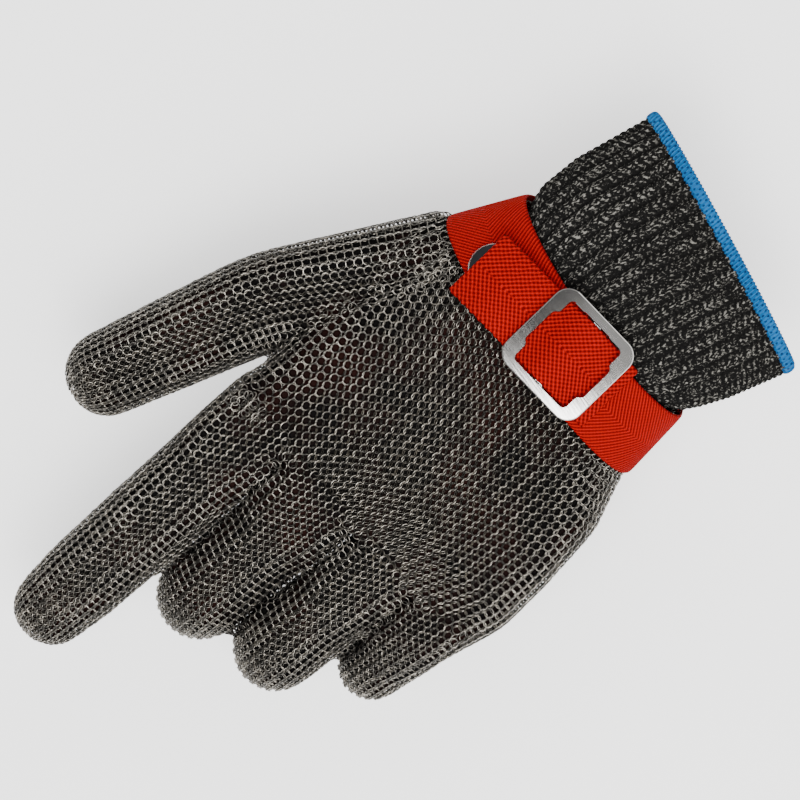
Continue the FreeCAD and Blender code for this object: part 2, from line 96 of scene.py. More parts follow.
def gridPiece(name, across, along, place, closed=False):
    startClean()
    bpy.ops.mesh.primitive_grid_add(x_subdivisions=across, y_subdivisions=along, size=2, calc_uvs=True)
    piece = bpy.context.object
    piece.name = name
    piece.data.name = name
    flat = np.empty(len(piece.data.vertices) * 3)
    piece.data.vertices.foreach_get("co", flat)
    flat = flat.reshape(-1, 3)
    u = (flat[:, 0] + 1) / 2
    v = (flat[:, 1] + 1) / 2
    piece.data.vertices.foreach_set("co", place(u, v).ravel())
    piece.data.update()
    if closed:
        selectOnly(piece)
        bpy.ops.object.mode_set(mode="EDIT")
        bpy.ops.mesh.select_all(action="SELECT")
        bpy.ops.mesh.remove_doubles(threshold=1e-6)
        bpy.ops.mesh.normals_make_consistent(inside=False)
        bpy.ops.object.mode_set(mode="OBJECT")
    smooth(piece)
    return piece


def power(value, exponent):
    return np.sign(value) * np.abs(value) ** exponent


def roundBox(turn, wide, deep, square):  # distance from the middle of a rounded box, out at this angle
    return (np.abs(np.cos(turn) / wide) ** square + np.abs(np.sin(turn) / deep) ** square) ** (-1 / square)


def unit(vector):
    vector = np.asarray(vector, float)
    return vector / np.maximum(np.linalg.norm(vector, axis=-1, keepdims=True), 1e-12)


def table(rows, key, at):
    return np.interp(at, [r["y"] for r in rows], [r[key] for r in rows])


# the shape under the mail: a hand tube and five digit tubes, all in millimetres
handRings = [
    dict(y=-12.0, x=-1.1, z=0.0, wide=42.4, deep=24.4, tilt=20.0, square=2.0),
    dict(y=12.5, x=0.7, z=0.0, wide=48.6, deep=25.0, tilt=20.0, square=2.1),
    dict(y=32.0, x=-4.2, z=0.0, wide=54.6, deep=22.5, tilt=12.0, square=2.3),
    dict(y=55.0, x=-7.6, z=0.0, wide=56.4, deep=20.5, tilt=0.0, square=2.5),
    dict(y=78.0, x=-10.2, z=0.0, wide=57.0, deep=19.0, tilt=0.0, square=2.6),
    dict(y=104.0, x=-9.8, z=1.0, wide=55.6, deep=15.4, tilt=0.0, square=2.8),
]
digits = {
    "index": dict(zones=("proximal", "middle", "distal"), back=12.0, web=20.0, base=(15.0, 14.6),
                  radii=(14.8, 14.6, 14.2, 13.0), tipTurn=8.0, tipReach=11.5, bends=(40.0, 22.0, 20.0),
                  stretch=6.0, shares=(0.4, 0.7, 1.0)),
    "middle": dict(zones=("proximal", "middle", "distal"), back=10.0, web=21.0, base=(16.2, 15.4),
                   radii=(14.8, 15.0, 14.2, 12.6), tipTurn=48.0, tipReach=12.5, bends=(30.0, 8.0, 9.0),
                   stretch=5.0, shares=(1.0, 1.0, 1.0)),
    "ring": dict(zones=("proximal", "middle", "distal"), back=8.0, web=24.0, base=(13.6, 14.0),
                 radii=(13.9, 14.5, 13.7, 12.0), tipTurn=48.0, tipReach=12.0, bends=(30.0, 7.5, 8.0),
                 stretch=4.0, shares=(1.0, 1.0, 1.0)),
    "little": dict(zones=("proximal", "middle", "distal"), back=8.0, web=22.0, base=(11.6, 12.2),
                   radii=(11.6, 11.6, 10.6, 9.6), tipTurn=46.0, tipReach=11.0, bends=(22.0, 6.5, 7.0),
                   stretch=2.5, shares=(1.0, 1.0, 1.0)),
    "thumb": dict(zones=("proximal", "distal"), start=(35.5, 20.0, -5.0), heel=0.2, base=(20.0, 17.2),
                  radii=(16.2, 15.0, 14.2), tipTurn=8.0, tipReach=18.0, bends=(60.0, 24.0),
                  stretch=6.0, shares=(0.5, 1.0)),
}
ringMail = dict(pitch=2.75, rowStep=3.25, hoop=1.5, wire=0.235, lean=37.0, flatter=19.0, loose=0.035,
                around=11, section=4, closest=1.62, filling=2.0, sink=0.85, linerSink=2.0, linerInset=0.25,
                hemFrom=0.5, digitFrom=3.0, strapGap=15.3, strapTilt=20.0, voxel=1.5, smoothing=22)


def jointPoint(name):
    return np.array(joints[name]["pos_m"]) / mm


def turned(vector, axis, degrees):
    return np.array(Matrix.Rotation(math.radians(degrees), 3, Vector(axis)) @ Vector(vector))


class DigitPath:
    def __init__(self, name, values):
        zones = values["zones"]
        hinges = [jointPoint(f"{name}_{zone}_bend") for zone in zones]
        axis = np.array(joints[f"{name}_{zones[0]}_bend"]["axis"])
        lateral = -axis
        lastDirection = unit(hinges[-1] - hinges[-2])
        tipDirection = turned(lastDirection, axis, values["tipTurn"])
        self.begin = 0.0
        if "start" in values:
            start = np.array(values["start"])
            self.begin = -values["base"][0] * math.pi / 2
        else:
            flat = unit(np.array([hinges[1][0] - hinges[0][0], hinges[1][1] - hinges[0][1], 0.0]))
            start = hinges[0] - flat * values["back"]
        corners = [start] + hinges + [hinges[-1] + tipDirection * values["tipReach"]]
        ahead = unit(hinges[1] - hinges[0])
        for index, share in enumerate(values["shares"], 2):
            corners[index] = corners[index] + ahead * values["stretch"] * share
        self.name = name
        self.values = values
        self.corners = corners
        self.lateral = lateral
        self.hinges = hinges
        self.trace()

    def trace(self):
        corners = self.corners
        points = [corners[0]]
        for index in range(1, len(corners) - 1):
            before = unit(corners[index] - corners[index - 1])
            after = unit(corners[index + 1] - corners[index])
            angle = math.acos(float(np.clip(before @ after, -1, 1)))
            radius = self.values["bends"][index - 1]
            reach = radius * math.tan(angle / 2)
            room = 0.48 * min(np.linalg.norm(corners[index] - corners[index - 1]),
                              np.linalg.norm(corners[index + 1] - corners[index]))
            reach = min(reach, room)
            first = corners[index] - before * reach
            last = corners[index] + after * reach
            for step in np.linspace(0, 1, 15):
                blend = (1 - step) ** 2 * first + 2 * step * (1 - step) * corners[index] + step ** 2 * last
                points.append(blend)
        points.append(corners[-1])
        points = np.array(points)
        steps = np.linalg.norm(np.diff(points, axis=0), axis=1)
        lengths = np.concatenate([[0], np.cumsum(steps)])
        keep = np.concatenate([[True], steps > 1e-6])
        self.points = points[keep]
        self.lengths = lengths[keep]
        self.total = self.lengths[-1]
        self.hingeAt = []
        for hinge in self.hinges:
            self.hingeAt.append(self.lengths[np.argmin(np.linalg.norm(self.points - hinge, axis=1))])

    def centre(self, at):
        at = np.asarray(at, float)
        inside = np.clip(at, 0, self.total)
        return np.stack([np.interp(inside, self.lengths, self.points[:, k]) for k in range(3)], axis=-1)

    def direction(self, at):
        ahead = np.clip(at, 0.6, self.total)
        return unit(self.centre(ahead) - self.centre(ahead - 0.6))

    def size(self, at):  # half width, half depth and squareness along the digit
        values = self.values
        radii = values["radii"]
        base = values["base"]
        knuckle = self.hingeAt[0]
        if self.name == "thumb":
            rows = [(0.0, *base, 2.0), (knuckle, radii[0], radii[0], 2.0)]
        else:
            web = values["web"]
            rows = [(0.0, *base, 3.4), (values["back"], *base, 3.4),
                    (knuckle + web * 0.55, base[0], radii[0] + 0.3, 3.0),
                    (knuckle + web, radii[0], radii[0], 2.0)]
        rows += [(hinge, radii[index], radii[index], 2.0) for index, hinge in enumerate(self.hingeAt[1:], 1)]
        rows.append((self.total, radii[-1], radii[-1], 2.0))
        stops, *columns = zip(*rows)
        return [np.interp(at, stops, column) for column in columns]

    def surface(self, at, turn, inset=0.0):
        at = np.asarray(at, float)
        past = np.maximum(at - self.total, 0)
        wide, deep, square = self.size(at)
        tipRadius = self.values["radii"][-1]
        polar = np.clip(past / tipRadius, 0, math.pi / 2)
        heel = np.clip(np.maximum(-at, 0) / self.values["base"][0], 0, math.pi / 2)
        shrink = np.cos(polar) * np.cos(heel)
        reach = tipRadius * np.sin(polar) - self.values.get("heel", 0) * self.values["base"][0] * np.sin(heel)
        along = self.direction(at)
        lateral = np.broadcast_to(self.lateral, along.shape)
        lateral = unit(lateral - along * np.sum(lateral * along, axis=-1, keepdims=True))
        dorsal = np.cross(lateral, along)
        out = roundBox(turn, wide - inset, deep - inset, square) * shrink
        x = out * np.cos(turn)
        z = out * np.sin(turn)
        forward = reach * (1 - inset / tipRadius)
        spot = self.centre(at) + lateral * x[..., None] + dorsal * z[..., None] + along * forward[..., None]
        return spot, along, lateral, dorsal


crease = {"from": 1.0, "over": 0.32, "drop": 0.06, "shallow": 0.4, "sink": 0.5}
knuckleLine = {"x": 31.0, "yaw": 8.0, "from": 50.0}
handFrom, handTo = handRings[0]["y"], handRings[-1]["y"]


class HandPath:
    begin = 0.0
    total = handTo - handFrom

    def surface(self, at, turn, inset=0.0):
        y = np.asarray(at, float) + handFrom
        turn = np.asarray(turn, float)
        column = {key: table(handRings, key, y) for key in ("x", "z", "wide", "deep", "tilt", "square")}
        tilt = np.radians(column["tilt"])
        out = roundBox(turn, column["wide"] - inset, column["deep"] - inset, column["square"])
        x = column["x"] + out * np.cos(turn)
        up = out * np.sin(turn)
        slant = np.clip((y - knuckleLine["from"]) / (handTo - knuckleLine["from"]), 0, 1) ** 1.5
        forward = slant * (x - knuckleLine["x"]) * math.tan(math.radians(knuckleLine["yaw"]))
        spot = np.stack([x, y + forward + up * np.sin(tilt), column["z"] + up * np.cos(tilt)], axis=-1)
        along = np.zeros_like(spot)
        along[..., 1] = 1
        return spot, along, None, None


hand = HandPath()
paths = {name: DigitPath(name, values) for name, values in digits.items()}


def tubeSkin(name, path, length, inset, around=48, stepLength=2.2):
    steps = max(4, int(length / stepLength))
    place = lambda u, v: path.surface(path.begin + v * (length - path.begin), u * 2 * math.pi, inset)[0] * mm
    return gridPiece(name, around, steps, place, closed=True)


def skinLength(path):
    if path is hand:
        return hand.total
    return path.total + path.values["radii"][-1] * math.pi / 2


def capEnds(piece):
    selectOnly(piece)
    bpy.ops.object.mode_set(mode="EDIT")
    bpy.ops.mesh.select_all(action="DESELECT")
    bpy.ops.mesh.select_mode(type="EDGE")
    bpy.ops.mesh.select_non_manifold()
    bpy.ops.mesh.fill_holes(sides=0)
    bpy.ops.mesh.select_all(action="SELECT")
    bpy.ops.mesh.normals_make_consistent(inside=False)
    bpy.ops.object.mode_set(mode="OBJECT")


def meltedSkin():
    tubes = [tubeSkin("skinHand", hand, skinLength(hand), 0.0, around=96)]
    tubes += [tubeSkin(f"skin{n}", p, skinLength(p), 0.0) for n, p in paths.items()]
    for tube in tubes:
        capEnds(tube)
    startClean()
    for tube in tubes:
        tube.select_set(True)
    bpy.context.view_layer.objects.active = tubes[0]
    bpy.ops.object.join()
    whole = tubes[0]
    applyModifier(whole, "REMESH", mode="VOXEL", voxel_size=ringMail["voxel"] * mm)
    applyModifier(whole, "SMOOTH", factor=0.5, iterations=ringMail["smoothing"])
    return whole


def tubeSites(path, length):  # rows of rings round a tube, spaced evenly along its back
    fine = np.linspace(path.begin, length, 900)
    back = path.surface(fine, np.full_like(fine, math.pi / 2))[0]
    walked = np.concatenate([[0], np.cumsum(np.linalg.norm(np.diff(back, axis=0), axis=1))])
    turns = np.linspace(0, 2 * math.pi, 1600)
    middle = path.surface(np.full_like(turns, length * 0.45), turns)[0]
    girth = np.sum(np.linalg.norm(np.diff(middle, axis=0), axis=1))
    evenTurn = np.concatenate([[0], np.cumsum(np.linalg.norm(np.diff(middle, axis=0), axis=1))]) / girth
    columns = int(round(girth / ringMail["rowStep"]))
    rows = int(walked[-1] / ringMail["pitch"])
    sites = []
    for kind in (0, 1):
        i, j = np.meshgrid(np.arange(rows) + 0.5 * kind, np.arange(columns) + 0.5 * kind, indexing="ij")
        at = np.interp(i.ravel() * ringMail["pitch"], walked, fine)
        turn = np.interp((j.ravel() / columns) % 1.0, evenTurn, turns)
        spot = path.surface(at, turn)[0]
        ahead = path.surface(at + 0.4, turn)[0]
        sites.append((spot, unit(ahead - spot), at, np.full(len(at), 1 - 2 * kind)))
    return [np.concatenate(part) for part in zip(*sites)]


def landOn(tree, spots):
    landed = np.empty_like(spots)
    normals = np.empty_like(spots)
    gaps = np.empty(len(spots))
    for index, spot in enumerate(spots):
        where, normal, face, gap = tree.find_nearest(Vector(spot * mm))
        landed[index] = np.array(where) / mm
        normals[index] = normal
        gaps[index] = gap / mm
    return landed, normals, gaps


def thinOut(spots, closest, taken):  # drops a ring that stands too near one already placed
    keep = np.zeros(len(spots), bool)
    steps = list(itertools.product((-1, 0, 1), repeat=3))
    for index, spot in enumerate(spots):
        home = tuple(np.floor(spot / closest).astype(int))
        cells = ((home[0] + dx, home[1] + dy, home[2] + dz) for dx, dy, dz in steps)
        near = (spot - other for cell in cells for other in taken.get(cell, ()))
        if not any(gap @ gap < closest * closest for gap in near):
            keep[index] = True
            taken.setdefault(home, []).append(spot)
    return keep


def ringTemplate():  # one ring of wire, lying flat
    startClean()
    bpy.ops.mesh.primitive_torus_add(
        major_segments=ringMail["around"], minor_segments=ringMail["section"],
        major_radius=ringMail["hoop"] * mm, minor_radius=ringMail["wire"] * mm)
    piece = bpy.context.object
    points = np.array([v.co for v in piece.data.vertices])
    faces = np.array([list(p.vertices) for p in piece.data.polygons])
    bpy.data.objects.remove(piece)
    return points, faces


def creaseShade(spots):  # 0 deep between two digits, 1 in the open
    near = []
    for path in paths.values():
        line = path.centre(np.arange(0, path.total, 2.0))
        gap = np.sqrt(((spots[:, None, :] - line[None]) ** 2).sum(axis=2)).min(axis=1)
        near.append(gap / path.values["radii"][1])
    second = np.sort(np.array(near), axis=0)[1]
    return np.clip((second - crease["from"]) / crease["over"], 0, 1)


def ringCloth(name, spots, normals, alongs, signs, template):
    points, faces = template
    alongs = unit(alongs - normals * np.sum(alongs * normals, axis=1, keepdims=True))
    sides = np.cross(normals, alongs)
    lean = np.radians(ringMail["lean"] - ringMail["flatter"] * np.abs(alongs[:, 2:]))
    signs = signs[:, None]
    across = sides * np.cos(lean) + normals * np.sin(lean) * signs
    up = normals * np.cos(lean) - sides * np.sin(lean) * signs
    basis = np.stack([alongs, across, up], axis=1)
    wobble = seed.normal(0, ringMail["loose"], (len(spots), 3, 3))
    basis = unit(basis + wobble)
    placed = np.einsum("pk,nkc->npc", points, basis) + spots[:, None, :] * mm
    allFaces = (faces[None] + np.arange(len(spots))[:, None, None] * len(points)).reshape(-1, 4)
    mesh = bpy.data.meshes.new(name)
    mesh.vertices.add(placed.shape[0] * placed.shape[1])
    mesh.vertices.foreach_set("co", placed.ravel())
    mesh.loops.add(allFaces.size)
    mesh.loops.foreach_set("vertex_index", allFaces.ravel())
    mesh.polygons.add(len(allFaces))
    mesh.polygons.foreach_set("loop_start", np.arange(0, allFaces.size, 4))
    mesh.update(calc_edges=True)
    mesh.validate()
    piece = bpy.data.objects.new(name, mesh)
    bpy.context.scene.collection.objects.link(piece)
    # shade: per ring, 0 where it is painted fully dark deep between two digits, 1 in the open
    shade = mesh.attributes.new("shade", "FLOAT", "POINT")
    shade.data.foreach_set("value", np.repeat(creaseShade(spots), len(points)))
    smooth(piece)
    return piece


class Flow:  # a node's output that takes part in plain sums
    def __init__(self, paint, socket):
        self.paint = paint
        self.socket = socket

    def __add__(self, other):
        return self.paint.sum("ADD", self, other)

    def __radd__(self, other):
        return self.paint.sum("ADD", other, self)

    def __sub__(self, other):
        return self.paint.sum("SUBTRACT", self, other)

    def __rsub__(self, other):
        return self.paint.sum("SUBTRACT", other, self)

    def __mul__(self, other):
        return self.paint.sum("MULTIPLY", self, other)

    def __rmul__(self, other):
        return self.paint.sum("MULTIPLY", other, self)


class Paint:
    def __init__(self, name, colour, roughness, metallic=0.0, **fixed):
        self.material = bpy.data.materials.new(name)
        self.material.use_nodes = True
        self.nodes = self.material.node_tree.nodes
        self.links = self.material.node_tree.links
        self.shader = self.nodes["Principled BSDF"]
        self.put(self.shader, "Base Color", colour)
        self.put(self.shader, "Roughness", roughness)
        self.put(self.shader, "Metallic", metallic)
        for key, value in fixed.items():
            self.put(self.shader, key.replace("_", " "), value)

    def put(self, node, key, value):
        socket = node.inputs[key]
        if isinstance(value, Flow):
            self.links.new(value.socket, socket)
        elif isinstance(value, tuple) and len(value) == 3 and socket.type == "RGBA":
            socket.default_value = (*value, 1.0)
        else:
            socket.default_value = value

    def make(self, kind, settings=None, out=0, **values):
        node = self.nodes.new(kind)
        for key, value in (settings or {}).items():
            if key == "stops":
                while len(node.color_ramp.elements) < len(value):
                    node.color_ramp.elements.new(0.5)
                for element, (place, shade) in zip(node.color_ramp.elements, value):
                    element.position = place
                    element.color = (shade, shade, shade, 1)
            else:
                setattr(node, key, value)
        for key, value in values.items():
            name = int(key[1:]) if key[0] == "i" and key[1:].isdigit() else key.replace("_", " ")
            self.put(node, name, value)
        return Flow(self, node.outputs[out])

    def sum(self, operation, first, second=0.0):
        return self.make("ShaderNodeMath", {"operation": operation}, i0=first, i1=second)

    def wave(self, value):
        return self.sum("SINE", value)

    def mix(self, amount, first, second):
        node = self.nodes.new("ShaderNodeMix")
        node.data_type = "RGBA"
        self.put(node, 0, amount)
        self.put(node, 6, first)
        self.put(node, 7, second)
        return Flow(self, node.outputs[2])

    def place(self, output="Object"):
        return self.make("ShaderNodeTexCoord", out=["Generated", "Normal", "UV", "Object"].index(output))

    def split(self, vector):
        node = self.nodes.new("ShaderNodeSeparateXYZ")
        self.links.new(vector.socket, node.inputs[0])
        return [Flow(self, out) for out in node.outputs]

    def noise(self, scale, detail=3.0, vector=None):
        return self.make("ShaderNodeTexNoise", Vector=vector or self.place(), Scale=scale, Detail=detail)

    def ramp(self, value, *stops):
        return self.make("ShaderNodeValToRGB", {"stops": stops}, Fac=value)

    def bump(self, height, distance, strength=1.0):
        flow = self.make("ShaderNodeBump", Height=height, Distance=distance, Strength=strength)
        self.put(self.shader, "Normal", flow)


def wear(piece, paint):
    piece.data.materials.clear()
    piece.data.materials.append(paint.material)


def useOn(node, paint):
    piece = frame["nodes"][node]
    if not piece.material_slots:
        piece.data.materials.append(paint.material)
    for slot in piece.material_slots:
        slot.material = paint.material


# finishes
snap = dict(middle=(28.4, 11.0, 20.65), rimFrom=7.75, rimTo=7.95)
weave = dict(pitch=1.45, coarse=1.7, ridge=0.16, slant=0.9, beadSlant=1.3, beadPitch=1.25)


def mailSteel():
    paint = Paint("mailSteel", (0.3, 0.28, 0.25), 0.3, 1.0)
    tone = paint.noise(420.0, 2.0)
    broad = paint.noise(28.0, 2.0)
    bright = paint.mix(broad, (0.28, 0.26, 0.225), (0.39, 0.355, 0.3))
    wire = paint.mix(paint.ramp(tone, (0.42, 0.0), (0.72, 1.0)), (0.1, 0.094, 0.084), bright)
    # painted shade: rings deep in the creases between two digits are coloured almost black
    shade = paint.make("ShaderNodeAttribute", {"attribute_name": "shade"}, out=2)
    paint.put(paint.shader, "Base Color", paint.mix(
        paint.ramp(shade, (0.1, 0.0), (0.9, 1.0)), (0.012, 0.011, 0.01), wire))
    paint.put(paint.shader, "Roughness", 0.2 + broad * 0.2)
    return paint


def linerKnit():
    paint = Paint("linerKnit", (0.008, 0.006, 0.006), 1.0, Specular_IOR_Level=0.05)
    patch = paint.noise(45.0, 2.0)
    paint.put(paint.shader, "Base Color", paint.mix(
        paint.ramp(patch, (0.45, 0.0), (0.68, 1.0)), (0.004, 0.0035, 0.0035), (0.015, 0.005, 0.004)))
    paint.bump(paint.noise(900.0, 2.0), 0.0004, 0.6)
    return paint


def cuffKnit():
    paint = Paint("cuffKnit", (0.006, 0.006, 0.006), 0.95, Specular_IOR_Level=0.04)
    u, v = paint.split(paint.place("UV"))[:2]
    rib = paint.sum("ABSOLUTE", paint.sum("FRACT", u * float(cuff["ribs"])) - 0.5)
    along = v * cuff["length"] - rib * 3.8
    strand = paint.wave(along * (2 * math.pi / cuff["stitch"])) * 0.5 + 0.5
    spot = paint.make("ShaderNodeCombineXYZ", X=u * cuff["girth"], Y=along * 0.42, Z=0.0)
    fleck = paint.make("ShaderNodeTexNoise", Vector=spot, Scale=2.1, Detail=2.0, Roughness=0.55)
    patch = paint.noise(140.0, 2.0)
    onRib = paint.ramp(rib, (0.2, 1.0), (0.42, 0.0))
    white = paint.ramp(fleck + strand * 0.12 + (patch - 0.5) * 0.2, (0.62, 0.0), (0.69, 1.0)) * onRib
    loose = paint.ramp(paint.noise(1300.0, 1.0), (0.66, 0.0), (0.7, 1.0)) * 0.5
    thread = paint.noise(1700.0, 2.0)
    base = paint.mix(thread, (0.001, 0.001, 0.001), (0.012, 0.0115, 0.011))
    paint.put(paint.shader, "Base Color", paint.mix(
        paint.sum("MAXIMUM", white, loose), base, (0.2, 0.192, 0.172)))
    paint.bump(thread + white * 0.8, 0.0003, 0.9)
    return paint


def redWebbing(length, pitch, beads, offset=0.0):
    paint = Paint("redWebbing", (0.3, 0.002, 0.001), 0.85, Specular_IOR_Level=0.06)
    u, v = paint.split(paint.place("UV"))[:2]
    fold = paint.sum("PINGPONG", u * 4.0 - 1.0, 1.0) * (strap["width"] / 2)
    along = v * length + offset
    rib = paint.wave((along + fold * weave["slant"]) * (2 * math.pi / pitch) + math.pi / 2)
    beadTurn = 2 * math.pi / (pitch * weave["beadPitch"])
    bead = paint.wave((along - fold * weave["beadSlant"]) * beadTurn + math.pi / 2)
    lift = paint.ramp(rib * 0.36 + bead * beads + 0.5, (0.06, 0.0), (0.8, 1.0))
    soil = paint.noise(60.0, 3.0)
    # painted shade: the grooves of the twill are coloured a far darker red than its raised ribs
    deep = paint.mix(soil, (0.07, 0.0006, 0.0004), (0.1, 0.001, 0.0007))
    bright = paint.mix(soil, (0.32, 0.002, 0.0012), (0.42, 0.0035, 0.002))
    paint.put(paint.shader, "Base Color", paint.mix(lift, deep, bright))
    paint.bump(lift + paint.noise(2600.0, 2.0) * 0.25, 0.0004, 0.9)
    return paint


def blueYarn():
    paint = Paint("blueYarn", (0.02, 0.13, 0.3), 0.85, Specular_IOR_Level=0.06)
    u, v = paint.split(paint.place("UV"))[:2]
    tone = paint.noise(700.0, 3.0)
    wrap = paint.wave((v * edging["wraps"] + u) * (2 * math.pi)) * 0.5 + 0.5
    zigzag = paint.wave((v * edging["dashes"]) * (2 * math.pi)) * paint.wave((u * 5.0) * (2 * math.pi))
    dash = paint.ramp(zigzag + tone * 0.5, (0.72, 0.0), (0.95, 1.0))
    # partly painted shade: each wrap of yarn is coloured lighter on its crest and darker where it meets the
    # next; the noise adds random tone
    base = paint.mix(wrap * 0.7 + tone * 0.3, (0.007, 0.07, 0.21), (0.018, 0.13, 0.32))
    paint.put(paint.shader, "Base Color", paint.mix(dash, base, (0.003, 0.025, 0.09)))
    paint.bump(wrap + paint.noise(2200.0, 2.0) * 0.4, 0.0003, 0.7)
    return paint


def buckleSteel():
    paint = Paint("buckleSteel", (0.3, 0.29, 0.28), 0.12, 1.0)
    grain = paint.make("ShaderNodeTexNoise", Vector=paint.make(
        "ShaderNodeMapping", Vector=paint.place(), Scale=(1.0, 14.0, 1.0)), Scale=120.0, Detail=3.0)
    broad = paint.noise(70.0, 2.0)
    paint.put(paint.shader, "Base Color", paint.mix(broad, (0.42, 0.41, 0.395), (0.55, 0.535, 0.515)))
    paint.put(paint.shader, "Roughness", 0.045 + grain * 0.05)
    paint.bump(grain, 0.00004, 0.1)
    return paint


def snapSteel():
    paint = Paint("snapSteel", (0.05, 0.052, 0.055), 0.2, 1.0)
    grain = paint.noise(300.0, 3.0)
    reach = paint.make("ShaderNodeVectorMath", {"operation": "DISTANCE"}, out=1, i0=paint.place(),
                       i1=tuple(value * mm for value in snap["middle"]))
    rim = paint.ramp(reach * 100.0, (snap["rimFrom"] / 10, 0.0), (snap["rimTo"] / 10, 1.0))
    # painted reflection: the stud's dome is coloured nearly black, and a bright ring is painted round its
    # edge as a highlight
    dark = paint.mix(grain, (0.035, 0.036, 0.039), (0.06, 0.062, 0.066))
    paint.put(paint.shader, "Base Color", paint.mix(rim, dark, (0.55, 0.54, 0.52)))
    paint.put(paint.shader, "Roughness", 0.14 + grain * 0.14)
    return paint


# mail and liner
handSplit = dict(y=52.0, near=1.3, wide=6.0)
blendReach = dict(knuckleBefore=6.0, knuckleAfter=10.0, before=9.0, after=9.0)


def zoneEdges(path):
    halfway = [(a + b) / 2 for a, b in zip(path.hingeAt, path.hingeAt[1:])]
    marks = [path.begin, *halfway, skinLength(path) + 1]
    return list(zip(marks, marks[1:]))


def bendAt(piece, name, path, index):
    zones = path.values["zones"]
    before = "root" if index == 0 else f"{name}_{zones[index - 1]}"
    back = blendReach["knuckleBefore"] if index == 0 else blendReach["before"]
    ahead = blendReach["knuckleAfter"] if index == 0 else blendReach["after"]
    at = path.hingeAt[index]
    start = path.centre(at - back) * mm
    end = path.centre(at + ahead) * mm
    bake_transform(piece)


def placeRings(tree):  # even rows first, then the holes that they leave in the creases
    taken = {}
    found = {}
    for regular in (True, False):
        for name, path in list(paths.items()) + [("hand", hand)]:
            spots, alongs, at, signs = tubeSites(path, skinLength(path))
            landed, normals, gaps = landOn(tree, spots)
            keep = gaps < handSplit["near"]
            if not regular:
                keep = ~keep & (gaps < handSplit["wide"])
            if name == "thumb":  # stops short of the strap's edge, which leans with the wrist
                lean = math.tan(math.radians(ringMail["strapTilt"]))
                keep &= landed[:, 1] - landed[:, 2] * lean > ringMail["strapGap"]
            else:
                keep &= at > ringMail["hemFrom" if path is hand else "digitFrom"]
            keep[keep] = creaseShade(landed[keep]) > crease["drop"]
            rows = [v[keep] for v in (landed, alongs, at, signs, normals)]
            keep = thinOut(rows[0], ringMail["closest"] if regular else ringMail["filling"], taken)
            found.setdefault(name, []).append([v[keep] for v in rows])
    return {name: [np.concatenate(column) for column in zip(*passes)] for name, passes in found.items()}


def mailPieces(paint):
    print("mail: skin under the rings")
    skin = meltedSkin()
    tree = BVHTree.FromObject(skin, bpy.context.evaluated_depsgraph_get())
    template = ringTemplate()
    found = placeRings(tree)
    count = 0
    made = []
    for name, path in list(paths.items()) + [("hand", hand)]:
        spots, alongs, at, signs, normals = found[name]
        spots = spots - normals * ringMail["sink"]
        if path is hand:
            groups = {
                "WristBack": (spots[:, 1] < handSplit["y"]) & (normals[:, 2] > 0),
                "KnuckleBack": (spots[:, 1] >= handSplit["y"]) & (normals[:, 2] > 0),
                "WristPalm": (spots[:, 1] < handSplit["y"]) & (normals[:, 2] <= 0),
                "KnucklePalm": (spots[:, 1] >= handSplit["y"]) & (normals[:, 2] <= 0),
            }
            for label, chosen in groups.items():
                piece = ringCloth(f"mail{label}", spots[chosen], normals[chosen], alongs[chosen],
                                  signs[chosen], template)
                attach(piece, "root")
                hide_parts("hand_mail")
                made.append(piece)
        else:
            for index, (low, high) in enumerate(zoneEdges(path)):
                chosen = (at >= low) & (at < high)
                zone = path.values["zones"][index]
                piece = ringCloth(f"mail{name.title()}{zone.title()}", spots[chosen], normals[chosen],
                                  alongs[chosen], signs[chosen], template)
                bendAt(piece, name, path, index)
                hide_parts(f"{name}_mail_{zone}")
                made.append(piece)
        count += len(spots)
        print(f"mail: {name} {len(spots)} rings")
    for piece in made:
        wear(piece, paint)
    print(f"mail: {count} rings in all")
    return skin, tree


def tuckUnder(piece, tree):  # the liner stays below the wires, but rises where two digits touch
    spots = np.array([vertex.co for vertex in piece.data.vertices]) / mm
    apart = np.clip(creaseShade(spots) / crease["shallow"], 0, 1)
    sinks = crease["sink"] + (ringMail["linerSink"] - crease["sink"]) * apart
    for vertex, sink in zip(piece.data.vertices, sinks.tolist()):
        where, normal = tree.find_nearest(vertex.co)[:2]
        if (vertex.co - where).dot(normal) / mm > -sink:
            vertex.co = where - normal * sink * mm
    piece.data.update()


def linerPieces(paint, tree):
    made = []
    inset = ringMail["linerInset"]  # nearly full size, so that touching digits leave no slot
    for name, path in paths.items():
        for index, (low, high) in enumerate(zoneEdges(path)):
            high = min(high, skinLength(path))
            place = lambda u, v: path.surface(low + v * (high - low), u * 2 * math.pi, inset)[0] * mm
            zone = path.values["zones"][index]
            rows = max(6, int((high - low) / 2))
            piece = gridPiece(f"liner{name.title()}{zone.title()}", 40, rows, place, closed=True)
            tuckUnder(piece, tree)
            bendAt(piece, name, path, index)
            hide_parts(f"{name}_liner_{zone}")
            made.append(piece)
    place = lambda u, v: hand.surface(1.0 + v * (hand.total - 1.0), u * 2 * math.pi, inset)[0] * mm
    piece = gridPiece("linerHand", 96, 50, place, closed=True)
    tuckUnder(piece, tree)
    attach(piece, "root")
    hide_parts("hand_liner")
    made.append(piece)
    for piece in made:
        wear(piece, paint)
    print("liner: done")


steelWire = mailSteel()
darkKnit = linerKnit()
skinUnder, skinTree = mailPieces(steelWire)
linerPieces(darkKnit, skinTree)
bpy.data.objects.remove(skinUnder)

